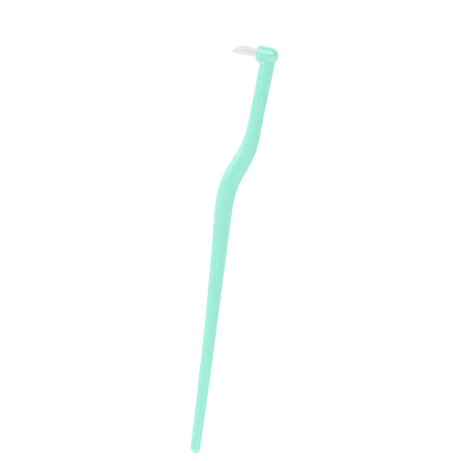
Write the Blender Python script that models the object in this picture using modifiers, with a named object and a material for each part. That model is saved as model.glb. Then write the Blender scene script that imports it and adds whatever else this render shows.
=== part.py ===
"""Single-tuft orthodontic toothbrush, lying on its side.

The handle runs along Y with the head at +Y, the S-bend lies in the XY plane, and the tuft points
towards -X. The origin is at the middle of the brush's box, on the surface that it lies on.

Three pieces: the handle, moulded in one shot with its bend, neck and round head; the tuft of
filaments in the head's blind hole; and the flat metal anchor that pins the tuft's fold to the
bottom of that hole.
"""

import math

import bmesh
import bpy
from mathutils import Matrix, Vector

MM = 0.001

# Centre line, measured along itself from the handle's end to the head's axis
SPINE_LENGTH = 158.3 * MM
LOWER_BEND = (92.8 * MM, 116.8 * MM)
UPPER_BEND = (111.2 * MM, 130.5 * MM)
HANDLE_BOW = math.radians(1.9)
BEND_ANGLE = math.radians(28.5)
NECK_ANGLE = math.radians(4.8)
SPINE_STEP = 0.1 * MM
RING_REACH = 4.9 * MM

# Oval section: distance from the handle's end, width in the plane of the bend, depth across it
SECTIONS = (
    (2.0 * MM, 3.65 * MM, 3.55 * MM),
    (40.0 * MM, 4.50 * MM, 4.30 * MM),
    (78.0 * MM, 5.80 * MM, 5.20 * MM),
    (101.0 * MM, 6.95 * MM, 5.80 * MM),
    (112.0 * MM, 7.10 * MM, 5.80 * MM),
    (121.0 * MM, 6.40 * MM, 5.15 * MM),
    (130.0 * MM, 5.45 * MM, 4.40 * MM),
    (150.0 * MM, 5.55 * MM, 4.25 * MM),
    (SPINE_LENGTH, 5.40 * MM, 4.25 * MM),
)
END_DOME = 2.0 * MM

# Flat left by the moulding gate, on the tuft's side of the end dome
GATE_DIRECTION = math.radians(43.4)
GATE_FLAT_DISTANCE = 1.46 * MM
GATE_BLOCK = 8.0 * MM

# Head: a round drum across the neck, flat towards the tuft and domed at the back
HEAD_RADIUS = 3.1 * MM
HEAD_FRONT = 4.95 * MM
HEAD_RIM = 1.0 * MM
DOME_START = -1.3 * MM
DOME_LENGTH = 2.47 * MM
THROAT_FILLET = 1.3 * MM

# Blind tuft hole and the anchor across it
HOLE_RADIUS = 1.6 * MM
HOLE_DEPTH = 4.3 * MM
ANCHOR_WIDTH = 3.6 * MM
ANCHOR_THICKNESS = 0.3 * MM
ANCHOR_HEIGHT = 1.6 * MM
ANCHOR_EDGE = 0.04 * MM
FOLD_THICKNESS = 1.0 * MM
CLEARANCE = 0.1 * MM

# Tuft: strands that fan out slightly and are trimmed to a point off the tuft's axis
STRAND_COUNT = 310
STRAND_RADIUS = 0.058 * MM
ROOT_RADIUS = HOLE_RADIUS - CLEARANCE
ROOT_BELOW_FACE = 0.7 * MM
ROOT_ROUNDING = 0.5 * MM
STRAND_EMBED = 0.2 * MM
TUFT_RADIUS = 1.47 * MM
TUFT_FLARE = 39.0
TIP_REACH = 9.8 * MM
TIP_OFFSET = -0.5
SHOULDER_REACH = 6.7 * MM
SHOULDER_TILT = 0.4 * MM

# How finely round shapes are faceted
HANDLE_BEVEL_RESOLUTION = 10
END_DOME_ANGLES = (10, 28, 46, 64, 90)
GRIP_RINGS = 12
BEND_RINGS = 18
NECK_RINGS = 5
THROAT_RINGS = 10
HEAD_SIDES = 32
ARC_STEPS = 5
DOME_STEPS = 6
SHARP_ANGLE = math.radians(35.0)
MERGE_DISTANCE = 0.001 * MM
SCREW_MERGE_DISTANCE = 0.01 * MM


def smoothstep(span, at):
    """0 before the span, 1 after it, with a soft start and end."""
    t = min(max((at - span[0]) / (span[1] - span[0]), 0.0), 1.0)
    return t * t * (3.0 - 2.0 * t)


def heading(at):
    """The centre line's direction: a faint bow along the handle, then out and back in the S-bend."""
    bow = HANDLE_BOW * (0.5 - min(at / LOWER_BEND[0], 1.0))
    out = BEND_ANGLE * smoothstep(LOWER_BEND, at)
    back = (BEND_ANGLE - HANDLE_BOW / 2 - NECK_ANGLE) * smoothstep(UPPER_BEND, at)
    return bow + out - back


def spine_point(at):
    """A point on the centre line, summed in short steps from the handle's end."""
    steps = max(1, round(at / SPINE_STEP))
    step = at / steps
    x = sum(math.sin(heading((i + 0.5) * step)) for i in range(steps)) * step
    y = sum(math.cos(heading((i + 0.5) * step)) for i in range(steps)) * step
    return Vector((x, y, 0.0))


def section(at):
    """Width and depth of the oval at a distance from the end, on a smooth curve through SECTIONS."""
    last = len(SECTIONS) - 1
    i = max(j for j in range(last) if SECTIONS[j][0] <= at or j == 0)
    before, start, end, after = (SECTIONS[min(max(j, 0), last)] for j in range(i - 1, i + 3))
    length = end[0] - start[0]
    t = min(max((at - start[0]) / length, 0.0), 1.0)
    sizes = []
    for k in (1, 2):
        slope_in = (end[k] - before[k]) / (end[0] - before[0]) * length
        slope_out = (after[k] - start[k]) / (after[0] - start[0]) * length
        sizes.append(
            start[k] * (2 * t**3 - 3 * t**2 + 1)
            + slope_in * (t**3 - 2 * t**2 + t)
            + end[k] * (3 * t**2 - 2 * t**3)
            + slope_out * (t**3 - t**2)
        )
    return sizes


def end_dome_share(at):
    """How much of its full section the handle has at a place on its rounded end."""
    return math.sqrt(1.0 - max(0.0, 1.0 - at / END_DOME) ** 2)


def throat_flare(at, height):
    """How far the neck's front edge has swept out to meet the round head, on a quarter circle."""
    wall = SPINE_LENGTH - math.sqrt(max(HEAD_RADIUS**2 - height**2, 0.0))
    into = min(max(at - wall + THROAT_FILLET, 0.0), THROAT_FILLET)
    return THROAT_FILLET - math.sqrt(THROAT_FILLET**2 - into**2)


def handle_stations():
    """Where the handle has its rings: close on the dome, the bends and the throat."""
    throat_start = SPINE_LENGTH - HEAD_RADIUS - THROAT_FILLET
    throat_end = throat_start + 2 * THROAT_FILLET
    stations = [END_DOME * (1.0 - math.cos(math.radians(a))) for a in END_DOME_ANGLES]
    for start, end, rings in (
        (END_DOME, LOWER_BEND[0], GRIP_RINGS),
        (LOWER_BEND[0], UPPER_BEND[1], BEND_RINGS),
        (UPPER_BEND[1], throat_start, NECK_RINGS),
        (throat_start, throat_end, THROAT_RINGS),
    ):
        stations += [start + (end - start) * i / rings for i in range(1, rings + 1)]
    return stations + [SPINE_LENGTH]


def make_collection(name):
    made = bpy.data.collections.new(name)
    bpy.context.scene.collection.children.link(made)
    return made


def make_empty(name, collection, parent, matrix):
    made = bpy.data.objects.new(name, None)
    collection.objects.link(made)
    made.parent = parent
    made.matrix_local = matrix
    return made


def make_object(name, mesh, collection, parent, matrix=Matrix()):
    made = bpy.data.objects.new(name, mesh)
    collection.objects.link(made)
    made.parent = parent
    made.matrix_local = matrix
    return made


def make_cutter(name, mesh, collection, parent, matrix=Matrix()):
    made = make_object(name, mesh, collection, parent, matrix)
    made.hide_render = True
    made.display_type = "WIRE"
    return made


def mesh_from(build, name):
    """A mesh made by a function that fills a bmesh."""
    work = bmesh.new()
    build(work)
    mesh = bpy.data.meshes.new(name)
    work.to_mesh(mesh)
    work.free()
    return mesh


def box_mesh(name, size):
    def build(work):
        bmesh.ops.create_cube(work, size=1.0, matrix=Matrix.Diagonal((*size, 1.0)))

    return mesh_from(build, name)


def profile_mesh(name, points):
    """An outline in the XZ plane, to be turned round Z."""

    def build(work):
        corners = [work.verts.new((x, 0.0, z)) for x, z in points]
        for first, second in zip(corners, corners[1:]):
            work.edges.new((first, second))

    return mesh_from(build, name)


def turn(made, sides):
    screw = made.modifiers.new("turned", "SCREW")
    screw.steps = sides
    screw.render_steps = sides
    screw.use_merge_vertices = True
    screw.merge_threshold = SCREW_MERGE_DISTANCE
    return made


def boolean(made, operation, other):
    cut = made.modifiers.new(f"{operation.lower()} {other.name}", "BOOLEAN")
    cut.operation = operation
    cut.object = other
    cut.solver = "EXACT"
    return cut


def make_material(name, colour, roughness, metallic):
    made = bpy.data.materials.new(name)
    made.use_nodes = True
    shader = made.node_tree.nodes["Principled BSDF"]
    shader.inputs["Base Color"].default_value = (*colour, 1.0)
    shader.inputs["Roughness"].default_value = roughness
    shader.inputs["Metallic"].default_value = metallic
    return made


def along_and_across(point, centre, angle):
    """Where a point lies from a place on the centre line: along it, and across it to the tuft's side."""
    away = point - centre
    along = away.x * math.sin(angle) + away.y * math.cos(angle)
    across = -away.x * math.cos(angle) + away.y * math.sin(angle)
    return along, across


def swept_rod_mesh():
    """The handle, bend and neck as a round sweep, then pressed to its oval depth and flared.

    Each corner belongs to the ring whose plane it lies in, among the rings close enough to reach it.
    """
    stations = handle_stations()
    curve = bpy.data.curves.new("spine", "CURVE")
    curve.dimensions = "3D"
    curve.twist_mode = "Z_UP"
    curve.bevel_depth = MM
    curve.bevel_resolution = HANDLE_BEVEL_RESOLUTION
    curve.use_fill_caps = True
    spline = curve.splines.new("POLY")
    spline.points.add(len(stations) - 1)
    for point, at in zip(spline.points, stations):
        point.co = (*spine_point(at), 1.0)
        width = section(max(at, END_DOME))[0]
        point.radius = width / 2 * end_dome_share(at) / MM
    swept = bpy.data.objects.new("spine", curve)
    bpy.context.scene.collection.objects.link(swept)
    bpy.context.view_layer.update()
    evaluated = swept.evaluated_get(bpy.context.evaluated_depsgraph_get())
    mesh = bpy.data.meshes.new_from_object(evaluated)
    bpy.data.objects.remove(swept)
    bpy.data.curves.remove(curve)

    rings = [(at, spine_point(at), heading(at)) for at in stations]
    work = bmesh.new()
    work.from_mesh(mesh)
    bmesh.ops.remove_doubles(work, verts=work.verts, dist=MERGE_DISTANCE)
    for vert in work.verts:
        flat = Vector((vert.co.x, vert.co.y, 0.0))
        near = [ring for ring in rings if (flat - ring[1]).length < RING_REACH]
        at, centre, angle = min(near, key=lambda ring: abs(along_and_across(flat, *ring[1:])[0]))
        width, depth = section(max(at, END_DOME))
        vert.co.z *= depth / width
        across = along_and_across(flat, centre, angle)[1]
        if across > 0.0:
            front = Vector((-math.cos(angle), math.sin(angle), 0.0))
            vert.co += front * throat_flare(at, vert.co.z) * across / (width / 2)
    work.to_mesh(mesh)
    work.free()
    mesh.name = "handle"
    return mesh


def head_place():
    """The head's own axes: X across the bend's plane, Y to the crown and Z out along the tuft."""
    crown = Vector((math.sin(NECK_ANGLE), math.cos(NECK_ANGLE), 0.0))
    front = Vector((-math.cos(NECK_ANGLE), math.sin(NECK_ANGLE), 0.0))
    turned = Matrix((Vector((0.0, 0.0, 1.0)), crown, front)).transposed()
    return Matrix.Translation(spine_point(SPINE_LENGTH)) @ turned.to_4x4()


def head_profile():
    """The drum's outline from the middle of its flat front, over the rim, to the back dome's pole."""
    rim = [math.radians(90.0 * i / ARC_STEPS) for i in range(ARC_STEPS + 1)]
    dome = [math.radians(90.0 * i / DOME_STEPS) for i in range(DOME_STEPS + 1)]
    shoulder = HEAD_RADIUS - HEAD_RIM
    points = [(0.0, HEAD_FRONT)]
    for a in rim:
        points.append((shoulder + HEAD_RIM * math.sin(a), HEAD_FRONT - HEAD_RIM * (1.0 - math.cos(a))))
    points += [(HEAD_RADIUS * math.cos(a), DOME_START - DOME_LENGTH * math.sin(a)) for a in dome]
    return points


def root_profile():
    """The tuft's folded root: a round plug with a rounded lower end."""
    top = HEAD_FRONT - ROOT_BELOW_FACE
    bottom = HEAD_FRONT - HOLE_DEPTH + CLEARANCE
    arc = [math.radians(90.0 * i / ARC_STEPS) for i in range(ARC_STEPS + 1)]
    points = [(0.0, top), (ROOT_RADIUS, top)]
    for a in arc:
        x = ROOT_RADIUS - ROOT_ROUNDING * (1.0 - math.cos(a))
        z = bottom + ROOT_ROUNDING * (1.0 - math.sin(a))
        points.append((x, z))
    return points + [(0.0, bottom)]


def strand_reach(x, y):
    """How far out of the face a strand is trimmed, for its place (x, y) on a disc of radius 1.

    The trimmed end is a cone whose point stands over (0, TIP_OFFSET), so the reach falls evenly
    from there to the tuft's edge.
    """
    away = Vector((x, y - TIP_OFFSET))
    distance = away.length
    if distance == 0.0:
        return TIP_REACH
    direction = away / distance
    lean = TIP_OFFSET * direction.y
    to_edge = -lean + math.sqrt(lean**2 + 1.0 - TIP_OFFSET**2)
    share = distance / to_edge
    edge_y = TIP_OFFSET + direction.y * to_edge
    edge_reach = SHOULDER_REACH - SHOULDER_TILT * edge_y
    return TIP_REACH + (edge_reach - TIP_REACH) * share


def strands_mesh():
    """Every strand as a straight three-sided rod, spread evenly over the root and fanning out."""
    golden_angle = math.pi * (3.0 - math.sqrt(5.0))
    foot_height = -ROOT_BELOW_FACE - STRAND_EMBED

    def build(work):
        for i in range(STRAND_COUNT):
            out = math.sqrt((i + 0.5) / STRAND_COUNT)
            x = out * math.cos(i * golden_angle)
            y = out * math.sin(i * golden_angle)
            reach = strand_reach(x, y)
            ends = []
            for height in (foot_height, reach):
                spread = (TUFT_RADIUS - STRAND_RADIUS) * (1.0 + TUFT_FLARE * height)
                ends.append(Vector((x * spread, y * spread, HEAD_FRONT + height)))
            along = ends[1] - ends[0]
            place = Matrix.Translation((ends[0] + ends[1]) / 2)
            lean = along.to_track_quat("Z", "Y").to_matrix().to_4x4()
            twist = Matrix.Rotation(i * golden_angle, 4, "Z")
            bmesh.ops.create_cone(
                work,
                cap_ends=True,
                segments=3,
                radius1=STRAND_RADIUS,
                radius2=STRAND_RADIUS,
                depth=along.length,
                matrix=place @ lean @ twist,
            )

    return mesh_from(build, "strands")


def make_handle(parts, cutters, brush, head):
    """One moulding: the swept rod joined to the drum, less the gate's flat, the hole and its notches."""
    mesh = swept_rod_mesh()
    mesh.shade_smooth()
    mesh.set_sharp_from_angle(angle=SHARP_ANGLE)
    mesh.materials.append(make_material("mint_polypropylene", (0.35, 0.83, 0.68), 0.3, 0.0))
    handle = make_object("handle", mesh, parts, brush)

    drum = make_cutter("head_drum", profile_mesh("head_drum", head_profile()), cutters, head)
    turn(drum, HEAD_SIDES)

    outward = Vector((-math.cos(GATE_DIRECTION), -math.sin(GATE_DIRECTION), 0.0))
    centre = spine_point(END_DOME) + outward * (GATE_FLAT_DISTANCE + GATE_BLOCK / 2)
    facing = Matrix.Translation(centre) @ outward.to_track_quat("Z", "Y").to_matrix().to_4x4()
    gate = make_cutter("gate_cutter", box_mesh("gate_cutter", (GATE_BLOCK,) * 3), cutters, brush, facing)

    hole_bottom = HEAD_FRONT - HOLE_DEPTH
    hole_profile = [
        (0.0, HEAD_FRONT + HEAD_RIM),
        (HOLE_RADIUS, HEAD_FRONT + HEAD_RIM),
        (HOLE_RADIUS, hole_bottom),
        (0.0, hole_bottom),
    ]
    hole = make_cutter("hole_cutter", profile_mesh("hole_cutter", hole_profile), cutters, head)
    turn(hole, HEAD_SIDES)

    notch_size = anchor_size(CLEARANCE)
    notch = make_cutter(
        "notch_cutter", box_mesh("notch_cutter", notch_size), cutters, head, anchor_place()
    )

    boolean(hole, "UNION", notch)
    boolean(handle, "UNION", drum)
    boolean(handle, "DIFFERENCE", gate)
    boolean(handle, "DIFFERENCE", hole)
    return handle


def anchor_size(margin):
    """The anchor's box, or with a margin all round, the room that it takes."""
    sizes = (ANCHOR_WIDTH, ANCHOR_THICKNESS, ANCHOR_HEIGHT)
    return tuple(size + 2 * margin for size in sizes)


def anchor_place():
    """The anchor's middle in the head: above the hole's floor by the thickness of the fold."""
    floor = HEAD_FRONT - HOLE_DEPTH
    return Matrix.Translation((0.0, 0.0, floor + FOLD_THICKNESS + ANCHOR_HEIGHT / 2))


def make_anchor(parts, head):
    """A plate cropped from flat wire, with its edges broken."""
    mesh = box_mesh("anchor", anchor_size(0.0))
    mesh.materials.append(make_material("anchor_brass", (0.78, 0.66, 0.42), 0.3, 1.0))
    anchor = make_object("anchor", mesh, parts, head, anchor_place())
    bevel = anchor.modifiers.new("broken edges", "BEVEL")
    bevel.width = ANCHOR_EDGE
    bevel.segments = 1
    return anchor


def make_tuft(parts, cutters, head):
    """The folded root, slotted for the anchor, with the strands fused into its top."""
    mesh = profile_mesh("tuft", root_profile())
    mesh.materials.append(make_material("white_nylon", (0.90, 0.89, 0.86), 0.4, 0.0))
    tuft = make_object("tuft", mesh, parts, head)
    turn(tuft, HEAD_SIDES)
    slot_size = anchor_size(CLEARANCE)
    slot = make_cutter("slot_cutter", box_mesh("slot_cutter", slot_size), cutters, head, anchor_place())
    strands = make_cutter("strands", strands_mesh(), cutters, head)
    boolean(tuft, "DIFFERENCE", slot)
    fused = boolean(tuft, "UNION", strands)
    fused.use_self = True
    return tuft


def stand_on_origin(brush, pieces):
    """Moves the whole brush so that the middle of its box stands on the origin."""
    bpy.context.view_layer.update()
    depsgraph = bpy.context.evaluated_depsgraph_get()
    points = []
    for piece in pieces:
        shaped = piece.evaluated_get(depsgraph)
        mesh = shaped.to_mesh()
        points += [shaped.matrix_world @ vert.co for vert in mesh.vertices]
        shaped.to_mesh_clear()
    low = [min(point[k] for point in points) for k in range(3)]
    high = [max(point[k] for point in points) for k in range(3)]
    brush.location = (-(low[0] + high[0]) / 2, -(low[1] + high[1]) / 2, -low[2])


def main():
    for old in list(bpy.data.objects):
        bpy.data.objects.remove(old)
    parts = make_collection("orthodontic_toothbrush")
    cutters = make_collection("cutters")
    brush = make_empty("brush", parts, None, Matrix())
    head = make_empty("head", parts, brush, head_place())
    pieces = [
        make_handle(parts, cutters, brush, head),
        make_anchor(parts, head),
        make_tuft(parts, cutters, head),
    ]
    stand_on_origin(brush, pieces)


main()
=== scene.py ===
"""Orthodontic toothbrush: the looks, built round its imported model.

A slim mint green brush lies on a white table. Its one-shot handle has an S-bend, a thin neck and a
round head, and one pointed tuft of pale nylon filaments stands out of the head's flat front.
"""

import math
import random

import bmesh
import bpy
from mathutils import Matrix, Vector


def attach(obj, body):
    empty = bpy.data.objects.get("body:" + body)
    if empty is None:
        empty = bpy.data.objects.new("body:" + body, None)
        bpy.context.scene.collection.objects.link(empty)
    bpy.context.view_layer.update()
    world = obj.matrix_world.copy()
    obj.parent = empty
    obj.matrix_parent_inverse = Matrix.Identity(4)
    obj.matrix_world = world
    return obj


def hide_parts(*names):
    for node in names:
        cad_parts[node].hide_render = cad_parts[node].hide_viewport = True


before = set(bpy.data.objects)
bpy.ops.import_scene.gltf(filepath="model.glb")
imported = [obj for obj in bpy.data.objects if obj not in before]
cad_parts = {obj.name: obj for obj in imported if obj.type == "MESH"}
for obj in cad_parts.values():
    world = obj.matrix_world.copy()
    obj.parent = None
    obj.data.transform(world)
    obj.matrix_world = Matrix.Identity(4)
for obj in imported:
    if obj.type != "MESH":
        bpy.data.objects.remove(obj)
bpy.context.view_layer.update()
bpy.ops.object.select_all(action="DESELECT")


# Handle: one injection moulding in mint polypropylene. A slim oval grip swells towards a gentle
# S-bend, and a thinner neck carries on to the head. It is swept here ring by ring along its centre
# line, which starts at the rounded end.
mm = 0.001
handle_start = Vector((-5.048 * mm, -80.171 * mm, 3.1 * mm))
handle_length = 158.3 * mm
# Where it turns out and where it turns back again, from the end
lower_bend = (92.8 * mm, 116.8 * mm)
upper_bend = (111.2 * mm, 130.5 * mm)
grip_bow = math.radians(1.9)
bend_turn = math.radians(28.5)
neck_lean = math.radians(4.8)
end_dome = 2.0 * mm
head_radius = 3.1 * mm
throat_fillet = 1.6 * mm
# Distance from the end, width in the plane of the bend, depth across it
handle_sections = (
    (2.0 * mm, 3.89 * mm, 3.55 * mm),
    (40.0 * mm, 4.73 * mm, 4.30 * mm),
    (78.0 * mm, 6.03 * mm, 5.20 * mm),
    (101.0 * mm, 7.18 * mm, 5.80 * mm),
    (112.0 * mm, 7.33 * mm, 5.80 * mm),
    (121.0 * mm, 6.63 * mm, 5.15 * mm),
    (130.0 * mm, 5.66 * mm, 4.40 * mm),
    (150.0 * mm, 5.75 * mm, 4.25 * mm),
    (handle_length, 5.60 * mm, 4.25 * mm),
)


def soft_rise(span, at):
    """0 before a span of the handle, 1 beyond it and a smooth rise between."""
    t = min(max((at - span[0]) / (span[1] - span[0]), 0.0), 1.0)
    return t * t * (3.0 - 2.0 * t)


def heading(at):
    """The angle between +Y and the way the centre line runs at a distance from the end."""
    bow = grip_bow * (0.5 - min(at / lower_bend[0], 1.0))
    out = bend_turn * soft_rise(lower_bend, at)
    back = (bend_turn - grip_bow / 2 - neck_lean) * soft_rise(upper_bend, at)
    return bow + out - back


trace_step = 0.1 * mm


def centre_line(at):
    """The point at a distance from the end, traced along the heading in short steps."""
    steps = max(1, round(at / trace_step))
    step = at / steps
    x = sum(math.sin(heading((i + 0.5) * step)) for i in range(steps)) * step
    y = sum(math.cos(heading((i + 0.5) * step)) for i in range(steps)) * step
    return handle_start + Vector((x, y, 0.0))


def oval(at):
    """The handle's width and depth at a distance, on a smooth curve through its sections."""
    last = len(handle_sections) - 1
    i = max(j for j in range(last) if handle_sections[j][0] <= at or j == 0)
    before, start, end, after = (handle_sections[min(max(j, 0), last)] for j in range(i - 1, i + 3))
    length = end[0] - start[0]
    t = min(max((at - start[0]) / length, 0.0), 1.0)
    sizes = []
    for k in (1, 2):
        slope_in = (end[k] - before[k]) / (end[0] - before[0]) * length
        slope_out = (after[k] - start[k]) / (after[0] - start[0]) * length
        sizes.append(
            start[k] * (2 * t**3 - 3 * t**2 + 1)
            + slope_in * (t**3 - 2 * t**2 + t)
            + end[k] * (3 * t**2 - 2 * t**3)
            + slope_out * (t**3 - t**2)
        )
    return sizes


def throat_sweep(at):
    """How far the neck's front has swept out on the fillet that carries it into the head."""
    into = min(max(at - (handle_length - head_radius) + throat_fillet, 0.0), throat_fillet)
    return throat_fillet - math.sqrt(throat_fillet**2 - into**2)


def ring_of(at):
    """A ring's middle, width and depth at a distance along the centre line."""
    width, depth = oval(max(at, end_dome))
    dome_share = math.sqrt(1.0 - max(0.0, 1.0 - at / end_dome) ** 2)
    sweep = throat_sweep(at)
    angle = heading(at)
    front = Vector((-math.cos(angle), math.sin(angle), 0.0))
    return centre_line(at) + front * sweep / 2, width * dome_share + sweep, depth * dome_share


def between(start, end, count):
    """Evenly spaced values after the start, up to the end."""
    return [start + (end - start) * i / count for i in range(1, count + 1)]


# The rings stand closest where the form turns, and the last one is inside the drum
handle_sides = 64
end_dome_angles = (4, 11, 20, 30, 40, 50, 60, 70, 80, 90)
grip_rings, bend_rings, neck_rings, throat_rings = 50, 56, 20, 12
throat_start = handle_length - head_radius - throat_fillet
throat_end = throat_start + throat_fillet
neck_end = handle_length - 1.5 * mm
stations = [end_dome * (1.0 - math.cos(math.radians(a))) for a in end_dome_angles]
stations += between(end_dome, lower_bend[0], grip_rings)
stations += between(lower_bend[0], upper_bend[1], bend_rings)
stations += between(upper_bend[1], throat_start, neck_rings)
stations += between(throat_start, throat_end, throat_rings)
stations += [neck_end]

middle, width, depth = ring_of(stations[0])
upright = (math.pi / 2, 0.0, 0.0)
bpy.ops.mesh.primitive_circle_add(vertices=handle_sides, radius=1.0, rotation=upright)
handle = bpy.context.object
handle.name = "brush_handle"
bpy.ops.object.transform_apply(location=True, rotation=True, scale=True)
bpy.ops.object.mode_set(mode="EDIT")
bpy.ops.mesh.select_all(action="SELECT")
bpy.ops.transform.resize(value=(width / 2, 1.0, depth / 2), center_override=(0.0, 0.0, 0.0))
bpy.ops.transform.rotate(value=heading(0.0), orient_axis="Z", center_override=(0.0, 0.0, 0.0))
bpy.ops.transform.translate(value=middle)
bpy.ops.mesh.edge_face_add()
for before, at in zip(stations, stations[1:]):
    old_middle, old_width, old_depth = ring_of(before)
    middle, width, depth = ring_of(at)
    turn = heading(at) - heading(before)
    spread = width / old_width
    bpy.ops.mesh.extrude_region_move(TRANSFORM_OT_translate={"value": middle - old_middle})
    bpy.ops.transform.rotate(value=turn, orient_axis="Z", center_override=middle)
    bpy.ops.transform.resize(value=(spread, spread, depth / old_depth), center_override=middle)

# The gate's flat on the rounded end, cut square to its own direction on the tuft's side
gate_direction = math.radians(43.4)
gate_reach = 1.46 * mm
gate_tolerance = 1e-9
weld_distance = 0.003 * mm
gate_out = Vector((-math.cos(gate_direction), -math.sin(gate_direction), 0.0))
gate_middle = centre_line(end_dome) + gate_out * gate_reach
bpy.ops.mesh.select_all(action="SELECT")
bpy.ops.mesh.normals_make_consistent(inside=False)
bpy.ops.mesh.bisect(
    plane_co=gate_middle,
    plane_no=gate_out,
    use_fill=True,
    clear_outer=True,
    threshold=gate_tolerance,
)
bpy.ops.mesh.select_all(action="SELECT")
bpy.ops.mesh.remove_doubles(threshold=weld_distance)
bpy.ops.object.mode_set(mode="OBJECT")
handle.select_set(False)

# The head's drum, turned round the tuft's axis: a flat front, a rolled rim and a domed back. Its
# heights are measured along that axis from the neck's centre line.
drum_sides = 96
head_front = 4.95 * mm
head_rim = 0.9 * mm
dome_start = -0.58 * mm
dome_length = 3.04 * mm
dome_fullness = 2.15
crown_way = Vector((math.sin(neck_lean), math.cos(neck_lean), 0.0))
tuft_way = Vector((-math.cos(neck_lean), math.sin(neck_lean), 0.0))
head_axes = Matrix((Vector((0.0, 0.0, 1.0)), crown_way, tuft_way)).transposed().to_4x4()
head_place = Matrix.Translation(centre_line(handle_length)) @ head_axes


def turned_solid(name, outline, sides):
    """A closed solid turned round the tuft's axis from (radius, height) points."""
    start_radius, start_height = outline[0]
    start_place = (0.0, 0.0, start_height)
    bpy.ops.mesh.primitive_circle_add(vertices=sides, radius=start_radius, location=start_place)
    turned = bpy.context.object
    turned.name = name
    bpy.ops.object.transform_apply(location=True, rotation=True, scale=True)
    bpy.ops.object.mode_set(mode="EDIT")
    bpy.ops.mesh.select_all(action="SELECT")
    bpy.ops.mesh.edge_face_add()
    for (old_radius, old_height), (radius, height) in zip(outline, outline[1:]):
        step = (0.0, 0.0, height - old_height)
        share = radius / old_radius
        bpy.ops.mesh.extrude_region_move(TRANSFORM_OT_translate={"value": step})
        bpy.ops.transform.resize(value=(share, share, 1.0), center_override=(0.0, 0.0, height))
    bpy.ops.mesh.select_all(action="SELECT")
    bpy.ops.mesh.normals_make_consistent(inside=False)
    bpy.ops.object.mode_set(mode="OBJECT")
    turned.matrix_world = head_place
    bpy.ops.object.transform_apply(location=True, rotation=True, scale=True)
    turned.select_set(False)
    return turned


def arc(start, end, step):
    """The angles of an arc's points, given in degrees."""
    return [math.radians(a) for a in range(start, end + 1, step)]


def drum_radius(height):
    """The drum's radius at a height on its sides and on its domed back."""
    share = min(max((dome_start - height) / dome_length, 0.0), 1.0)
    return head_radius * (1.0 - share**dome_fullness) ** (1.0 / dome_fullness)


drum_rings = 20
drum_outline = []
for a in arc(0, 90, 9):
    radius = head_radius - head_rim * (1.0 - math.sin(a))
    drum_outline.append((radius, head_front - head_rim * (1.0 - math.cos(a))))
for height in between(head_front - head_rim, dome_start, drum_rings):
    drum_outline.append((head_radius, height))
for a in arc(4, 88, 4):
    height = dome_start - dome_length * math.sin(a)
    drum_outline.append((drum_radius(height), height))
drum = turned_solid("drum", drum_outline, drum_sides)

# The blind hole that the tuft is pressed into, its edge just broken, and the slots that its anchor
# bites. The anchor stands on the folded filaments, with a little clearance for its press fit.
hole_radius = 1.6 * mm
hole_depth = 4.3 * mm
hole_floor = head_front - hole_depth
hole_lip = 0.08 * mm
cutter_stand = 1.0 * mm
hole_outline = [
    (hole_radius, hole_floor),
    (hole_radius, head_front - hole_lip),
    (hole_radius + 2 * hole_lip, head_front + hole_lip),
    (hole_radius + 2 * hole_lip, head_front + cutter_stand),
]
hole = turned_solid("hole", hole_outline, drum_sides)
anchor_width, anchor_thickness, anchor_height = 3.6 * mm, 0.3 * mm, 1.6 * mm
fold_height = 1.0 * mm
press_clearance = 0.1 * mm
anchor_middle = hole_floor + fold_height + anchor_height / 2


def anchor_room(margin):
    """A box round the anchor with a margin on every side."""
    bpy.ops.mesh.primitive_cube_add(size=1.0)
    room = bpy.context.object
    plate = (anchor_width, anchor_thickness, anchor_height)
    room.scale = [side + 2 * margin for side in plate]
    bpy.ops.object.transform_apply(location=True, rotation=True, scale=True)
    room.matrix_world = head_place @ Matrix.Translation((0.0, 0.0, anchor_middle))
    bpy.ops.object.transform_apply(location=True, rotation=True, scale=True)
    room.select_set(False)
    return room


def combine(piece, operation, other):
    """Joins or cuts a piece with another one, which is then gone."""
    bpy.context.view_layer.objects.active = piece
    fitted = piece.modifiers.new("fitted", "BOOLEAN")
    fitted.operation = operation
    fitted.object = other
    fitted.solver = "EXACT"
    bpy.ops.object.modifier_apply(modifier=fitted.name)
    bpy.data.objects.remove(other)


combine(handle, "UNION", drum)
combine(handle, "DIFFERENCE", hole)
combine(handle, "DIFFERENCE", anchor_room(press_clearance))

# Where the neck runs into the drum the mould is radiused, so that corner is relaxed
throat_reach = 0.35 * mm
throat_top = -0.5 * mm
handle_crease = math.radians(40)


def at_throat(point):
    """Whether a point lies close to the corner between the neck's skin and the drum's."""
    depth, up, out = head_place.inverted() @ point
    width, thickness = oval(handle_length)
    sweep = throat_sweep(handle_length + up)
    from_neck = math.hypot((out - sweep / 2) / ((width + sweep) / 2), depth / (thickness / 2)) - 1.0
    from_drum = math.hypot(depth, up) - drum_radius(out)
    near_neck = abs(from_neck) * thickness / 2 < throat_reach
    return up < throat_top and near_neck and abs(from_drum) < throat_reach


def select_where(piece, chosen):
    """Goes into edit mode with only the chosen vertices selected."""
    bpy.context.view_layer.objects.active = piece
    bpy.ops.object.mode_set(mode="EDIT")
    bpy.ops.mesh.select_mode(type="VERT")
    bpy.ops.mesh.select_all(action="DESELECT")
    shape = bmesh.from_edit_mesh(piece.data)
    for vert in shape.verts:
        vert.select = chosen(vert.co)
    shape.select_flush(True)
    bmesh.update_edit_mesh(piece.data)


select_where(handle, at_throat)
bpy.ops.mesh.vertices_smooth(factor=0.5, repeat=6)
bpy.ops.object.mode_set(mode="OBJECT")
handle.select_set(True)
bpy.ops.object.shade_smooth_by_angle(angle=handle_crease)
handle.select_set(False)

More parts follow.
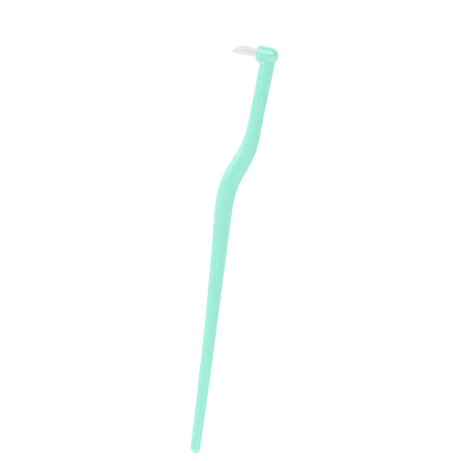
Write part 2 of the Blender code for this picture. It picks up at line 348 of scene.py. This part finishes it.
# Mint polypropylene: a satin moulded skin with the faint unevenness of a polished steel mould, a
# little light inside it, and the hair-fine line where the mould's halves met.
mould_line_reach = 0.03 * mm
ripple_share = 0.35
mint = bpy.data.materials.new("mint_polypropylene")
mint.use_nodes = True
nodes, links = mint.node_tree.nodes, mint.node_tree.links
mint_skin = nodes["Principled BSDF"]
mint_skin.inputs["IOR"].default_value = 1.49
mint_skin.inputs["Subsurface Weight"].default_value = 0.12
mint_skin.inputs["Subsurface Radius"].default_value = (0.5, 1.2, 0.9)
mint_skin.inputs["Subsurface Scale"].default_value = 0.6 * mm
mint_skin.inputs["Coat Weight"].default_value = 0.8
mint_skin.inputs["Coat Roughness"].default_value = 0.12
mint_place = nodes.new("ShaderNodeTexCoord")
mint_cloud = nodes.new("ShaderNodeTexNoise")
mint_cloud.inputs["Scale"].default_value = 130.0
mint_cloud.inputs["Detail"].default_value = 2.0
mint_tint = nodes.new("ShaderNodeMix")
mint_tint.data_type = "RGBA"
mint_tint.inputs["A"].default_value = (0.282, 0.742, 0.603, 1.0)
mint_tint.inputs["B"].default_value = (0.307, 0.768, 0.629, 1.0)
mint_ripple = nodes.new("ShaderNodeTexNoise")
mint_ripple.inputs["Scale"].default_value = 900.0
mint_ripple.inputs["Detail"].default_value = 3.0
mint_gloss = nodes.new("ShaderNodeMapRange")
mint_gloss.inputs["To Min"].default_value = 0.28
mint_gloss.inputs["To Max"].default_value = 0.40
mint_axes = nodes.new("ShaderNodeSeparateXYZ")
mould_line = nodes.new("ShaderNodeMath")
mould_line.operation = "COMPARE"
mould_line.inputs[1].default_value = handle_start.z
mould_line.inputs[2].default_value = mould_line_reach
mint_relief = nodes.new("ShaderNodeMath")
mint_relief.operation = "MULTIPLY_ADD"
mint_relief.inputs[1].default_value = ripple_share
mint_bump = nodes.new("ShaderNodeBump")
mint_bump.inputs["Strength"].default_value = 0.5
mint_bump.inputs["Distance"].default_value = 0.012 * mm
links.new(mint_place.outputs["Object"], mint_cloud.inputs["Vector"])
links.new(mint_place.outputs["Object"], mint_ripple.inputs["Vector"])
links.new(mint_place.outputs["Object"], mint_axes.inputs["Vector"])
links.new(mint_cloud.outputs["Fac"], mint_tint.inputs["Factor"])
links.new(mint_tint.outputs["Result"], mint_skin.inputs["Base Color"])
links.new(mint_ripple.outputs["Fac"], mint_gloss.inputs["Value"])
links.new(mint_gloss.outputs["Result"], mint_skin.inputs["Roughness"])
links.new(mint_axes.outputs["Z"], mould_line.inputs[0])
links.new(mint_ripple.outputs["Fac"], mint_relief.inputs[0])
links.new(mould_line.outputs["Value"], mint_relief.inputs[2])
links.new(mint_relief.outputs["Value"], mint_bump.inputs["Height"])
links.new(mint_bump.outputs["Normal"], mint_skin.inputs["Normal"])
handle.data.materials.clear()
handle.data.materials.append(mint)
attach(handle, "root")
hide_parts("handle")


# Anchor: a plate cropped from flat brass wire and driven across the tuft hole, so that it pins the
# folded filaments. It is sealed in the head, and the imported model's own plate is kept.
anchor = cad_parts["anchor"]
brass = bpy.data.materials.new("anchor_brass")
brass.use_nodes = True
nodes, links = brass.node_tree.nodes, brass.node_tree.links
brass_skin = nodes["Principled BSDF"]
brass_skin.inputs["Base Color"].default_value = (0.78, 0.66, 0.42, 1.0)
brass_skin.inputs["Metallic"].default_value = 1.0
brass_place = nodes.new("ShaderNodeTexCoord")
brass_drawn = nodes.new("ShaderNodeMapping")
brass_drawn.inputs["Scale"].default_value = (1.0, 1.0, 0.05)
brass_lines = nodes.new("ShaderNodeTexNoise")
brass_lines.inputs["Scale"].default_value = 9000.0
brass_gloss = nodes.new("ShaderNodeMapRange")
brass_gloss.inputs["To Min"].default_value = 0.25
brass_gloss.inputs["To Max"].default_value = 0.45
links.new(brass_place.outputs["Object"], brass_drawn.inputs["Vector"])
links.new(brass_drawn.outputs["Vector"], brass_lines.inputs["Vector"])
links.new(brass_lines.outputs["Fac"], brass_gloss.inputs["Value"])
links.new(brass_gloss.outputs["Result"], brass_skin.inputs["Roughness"])
anchor.data.materials.clear()
anchor.data.materials.append(brass)


# Tuft: one bundle of natural nylon filaments, folded once round the anchor, fanning out a little
# from the hole and trimmed to a point that stands nearer the handle. Each filament has a faint bow
# of its own and an end-rounded tip, and their folds are made as one solid at the root.
filament_count = 900
filament_sides = 6
filament_rings = 5
filament_radius = 0.052 * mm
filament_length = 9.0 * mm
filament_bows = (0.0, 0.03 * mm, 0.06 * mm)
# Each ring of a rounded tip: its rise in filament radii, and its size against the ring before
filament_tip = ((0.6, 0.75), (0.4, 0.35))
# The bundle's radius at the face, and the share of it that a metre of height would add
tuft_radius = 1.62 * mm
tuft_flare = 36.0
tuft_lean = math.radians(0.2)
tuft_crease = math.radians(62)
foot_height = -1.4 * mm
# The trimmed point's height, its place from the middle in tuft radii, and the blunt share round it
tip_reach = 9.75 * mm
tip_offset = -0.64
tip_flat = 0.2
# The trimmed edge's height, and how much higher it is on the handle's side than at the middle
shoulder_reach = 6.9 * mm
shoulder_tilt = 0.3 * mm
trim_scatter = 0.2 * mm
tip_scatter = 0.03 * mm
random.seed(11)


def filament(bow):
    """One filament standing on the origin, bowed to one side, its tip rounded."""
    bpy.ops.mesh.primitive_circle_add(vertices=filament_sides, radius=filament_radius)
    made = bpy.context.object
    bpy.ops.object.mode_set(mode="EDIT")
    bpy.ops.mesh.select_all(action="SELECT")
    bpy.ops.mesh.edge_face_add()
    aside = height = 0.0
    for i in range(1, filament_rings + 1):
        share = i / filament_rings
        new_aside = bow * 4.0 * share * (1.0 - share)
        new_height = (filament_length - filament_radius) * share
        step = (new_aside - aside, 0.0, new_height - height)
        bpy.ops.mesh.extrude_region_move(TRANSFORM_OT_translate={"value": step})
        aside, height = new_aside, new_height
    for rise, share in filament_tip:
        step = (0.0, 0.0, filament_radius * rise)
        height += filament_radius * rise
        bpy.ops.mesh.extrude_region_move(TRANSFORM_OT_translate={"value": step})
        bpy.ops.transform.resize(value=(share, share, 1.0), center_override=(aside, 0.0, height))
    bpy.ops.mesh.select_all(action="SELECT")
    bpy.ops.mesh.normals_make_consistent(inside=False)
    bpy.ops.object.mode_set(mode="OBJECT")
    made.select_set(False)
    return made


def trimmed_reach(x, y):
    """How far out of the face the trimmer left a filament, for its place on a disc of radius 1."""
    away = Vector((x, y - tip_offset))
    distance = away.length
    direction = away / distance
    lean = tip_offset * direction.y
    to_edge = -lean + math.sqrt(lean**2 + 1.0 - tip_offset**2)
    edge_reach = shoulder_reach - shoulder_tilt * (tip_offset + direction.y * to_edge)
    share = max(distance / to_edge - tip_flat, 0.0) / (1.0 - tip_flat)
    return tip_reach + (edge_reach - tip_reach) * share


patterns = [filament(bow) for bow in filament_bows]
filaments = []
golden_angle = math.pi * (3.0 - math.sqrt(5.0))
for i in range(filament_count):
    out = math.sqrt((i + 0.5) / filament_count)
    x, y = out * math.cos(i * golden_angle), out * math.sin(i * golden_angle)
    reach = trimmed_reach(x, y) + random.uniform(-trim_scatter, 0.0)
    foot, tip = (
        Vector((x, y, 0.0)) * (tuft_radius - filament_radius) * (1.0 + tuft_flare * height)
        + Vector((0.0, -math.tan(tuft_lean) * max(height, 0.0), head_front + height))
        for height in (foot_height, reach)
    )
    tip += Vector((random.gauss(0.0, tip_scatter), random.gauss(0.0, tip_scatter), 0.0))
    along = tip - foot
    pattern = patterns[i % len(patterns)]
    single = pattern.copy()
    single.data = pattern.data.copy()
    bpy.context.collection.objects.link(single)
    lean = along.to_track_quat("Z", "Y").to_matrix().to_4x4()
    twist = Matrix.Rotation(random.uniform(0.0, 2.0 * math.pi), 4, "Z")
    stretch = Matrix.Diagonal((1.0, 1.0, along.length / filament_length, 1.0))
    single.matrix_world = head_place @ Matrix.Translation(foot) @ lean @ twist @ stretch
    filaments.append(single)
for pattern in patterns:
    bpy.data.objects.remove(pattern)

# The folds, made as one solid round the anchor from just over the hole's floor to below its mouth
root_sides = 48
root_radius = 1.5 * mm
root_floor = hole_floor + press_clearance
root_rounding = 0.5 * mm
root_top = head_front - 1.2 * mm
root_outline = []
for a in arc(0, 90, 15):
    radius = root_radius - root_rounding * (1.0 - math.sin(a))
    root_outline.append((radius, root_floor + root_rounding * (1.0 - math.cos(a))))
root_outline.append((root_radius, root_top))
tuft = turned_solid("tuft_filaments", root_outline, root_sides)
combine(tuft, "DIFFERENCE", anchor_room(press_clearance))
for single in filaments:
    single.select_set(True)
tuft.select_set(True)
bpy.context.view_layer.objects.active = tuft
bpy.ops.object.join()
bpy.ops.object.transform_apply(location=True, rotation=True, scale=True)
bpy.ops.object.shade_smooth_by_angle(angle=tuft_crease)
tuft.select_set(False)

nylon = bpy.data.materials.new("natural_nylon")
nylon.use_nodes = True
nodes, links = nylon.node_tree.nodes, nylon.node_tree.links
nylon_skin = nodes["Principled BSDF"]
nylon_skin.inputs["IOR"].default_value = 1.53
nylon_skin.inputs["Roughness"].default_value = 0.5
nylon_place = nodes.new("ShaderNodeTexCoord")
nylon_cloud = nodes.new("ShaderNodeTexNoise")
nylon_cloud.inputs["Scale"].default_value = 700.0
nylon_tint = nodes.new("ShaderNodeMix")
nylon_tint.data_type = "RGBA"
nylon_tint.inputs["A"].default_value = (0.95, 0.93, 0.90, 1.0)
nylon_tint.inputs["B"].default_value = (0.98, 0.96, 0.93, 1.0)
links.new(nylon_place.outputs["Object"], nylon_cloud.inputs["Vector"])
links.new(nylon_cloud.outputs["Fac"], nylon_tint.inputs["Factor"])
links.new(nylon_tint.outputs["Result"], nylon_skin.inputs["Base Color"])
tuft.data.materials.clear()
tuft.data.materials.append(nylon)
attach(tuft, "root")
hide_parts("tuft")


# Table: a plain sheet of white card. It takes the brush's faint shadow and throws light back up as
# card does, while the camera and reflections see it at the white of the photograph's background.
table_size = 4.0
card_glow = 0.85


def seen_share(tree):
    """1 for what the camera sees, straight, mirrored or through clear stuff, and 0 otherwise."""
    sight = tree.nodes.new("ShaderNodeLightPath")
    share = sight.outputs["Is Camera Ray"]
    for ray in ("Is Glossy Ray", "Is Transmission Ray"):
        wider = tree.nodes.new("ShaderNodeMath")
        wider.operation = "MAXIMUM"
        tree.links.new(share, wider.inputs[0])
        tree.links.new(sight.outputs[ray], wider.inputs[1])
        share = wider.outputs["Value"]
    return share


bpy.ops.mesh.primitive_plane_add(size=table_size)
table = bpy.context.object
table.name = "white_table"
card = bpy.data.materials.new("white_card")
card.use_nodes = True
nodes, links = card.node_tree.nodes, card.node_tree.links
card_skin = nodes["Principled BSDF"]
card_skin.inputs["Roughness"].default_value = 0.9
card_skin.inputs["Specular IOR Level"].default_value = 0.0
card_skin.inputs["Emission Color"].default_value = (1.0, 1.0, 1.0, 1.0)
card_seen = seen_share(card.node_tree)
card_lift = nodes.new("ShaderNodeMath")
card_lift.operation = "MULTIPLY"
card_lift.inputs[1].default_value = card_glow
card_white = nodes.new("ShaderNodeMix")
card_white.data_type = "RGBA"
card_white.inputs["A"].default_value = (0.80, 0.80, 0.80, 1.0)
card_white.inputs["B"].default_value = (0.22, 0.22, 0.22, 1.0)
links.new(card_seen, card_lift.inputs[0])
links.new(card_seen, card_white.inputs["Factor"])
links.new(card_white.outputs["Result"], card_skin.inputs["Base Color"])
links.new(card_lift.outputs["Value"], card_skin.inputs["Emission Strength"])
table.data.materials.append(card)
table.select_set(False)


# Light: a white tent that fades out overhead, where the camera looks in, two large soft lamps on
# the tuft's side, one beyond the crown, and a near one past the handle's end on the other side. A
# narrow one high beyond the head draws the glint along the drum.
tent_strength = 1.1
studio = bpy.data.worlds.new("white_tent")
bpy.context.scene.world = studio
studio.use_nodes = True
nodes, links = studio.node_tree.nodes, studio.node_tree.links
tent_seen = nodes["Background"]
tent_light = nodes.new("ShaderNodeBackground")
tent_seen.inputs["Color"].default_value = (1.0, 1.0, 1.0, 1.0)
tent_seen.inputs["Strength"].default_value = 1.0
tent_light.inputs["Color"].default_value = (1.0, 1.0, 1.0, 1.0)
tent_way = nodes.new("ShaderNodeTexCoord")
tent_axes = nodes.new("ShaderNodeSeparateXYZ")
tent_fade = nodes.new("ShaderNodeMath")
tent_fade.operation = "MULTIPLY_ADD"
tent_fade.inputs[1].default_value = -tent_strength
tent_fade.inputs[2].default_value = tent_strength
tent = nodes.new("ShaderNodeMixShader")
links.new(seen_share(studio.node_tree), tent.inputs["Fac"])
links.new(tent_way.outputs["Generated"], tent_axes.inputs["Vector"])
links.new(tent_axes.outputs["Z"], tent_fade.inputs[0])
links.new(tent_fade.outputs["Value"], tent_light.inputs["Strength"])
links.new(tent_light.outputs["Background"], tent.inputs[1])
links.new(tent_seen.outputs["Background"], tent.inputs[2])
links.new(tent.outputs["Shader"], nodes["World Output"].inputs["Surface"])


def soft_lamp(name, way, distance, size, power):
    """A flat lamp turned to the brush's middle, its size in metres and its power in watts."""
    bpy.ops.object.light_add(type="AREA", location=Vector(way).normalized() * distance)
    lamp = bpy.context.object
    lamp.name = name
    lamp.rotation_euler = Vector(way).to_track_quat("Z", "Y").to_euler()
    lamp.data.shape = "RECTANGLE"
    lamp.data.size, lamp.data.size_y = size
    lamp.data.energy = power
    lamp.select_set(False)


soft_lamp("tuft_side", (-0.66, -0.62, 0.42), 0.9, (0.6, 0.6), 3.1)
soft_lamp("tuft_corner", (-0.72, 0.60, 0.34), 1.35, (0.9, 0.9), 3.9)
soft_lamp("crown_side", (-0.14, 0.81, 0.57), 1.35, (0.7, 0.7), 3.0)
soft_lamp("end_side", (0.54, -0.65, 0.53), 0.5, (0.5, 0.5), 1.22)
soft_lamp("glint", (0.17, 0.51, 0.84), 1.1, (0.3, 0.17), 3.1)


# Camera: straight above on a long lens, rolled so that the brush leans as in the photograph, with
# the handle's rounded end where the photograph has it, in pixels from its left and top edges.
photo_width = 461
photo_pixel = 0.388 * mm
camera_roll = math.radians(6.78)
end_across, end_down = 194.58, 453.6
camera_height = 1.2
film_width = 36.0
camera_turn = Matrix.Rotation(camera_roll, 4, "Z")
middle_right = (photo_width / 2 - end_across) * photo_pixel
middle_up = (end_down - photo_width / 2) * photo_pixel
camera_way = camera_turn @ Vector((middle_right, middle_up, 0.0))
camera_place = handle_start + camera_way + Vector((0.0, 0.0, camera_height))
bpy.ops.object.camera_add()
camera = bpy.context.object
camera.matrix_world = Matrix.Translation(camera_place) @ camera_turn
camera.data.sensor_width = film_width
camera.data.lens = film_width * camera_height / (photo_width * photo_pixel)
camera.data.clip_start = 0.05
bpy.context.scene.camera = camera
bpy.context.scene.view_settings.view_transform = "Standard"
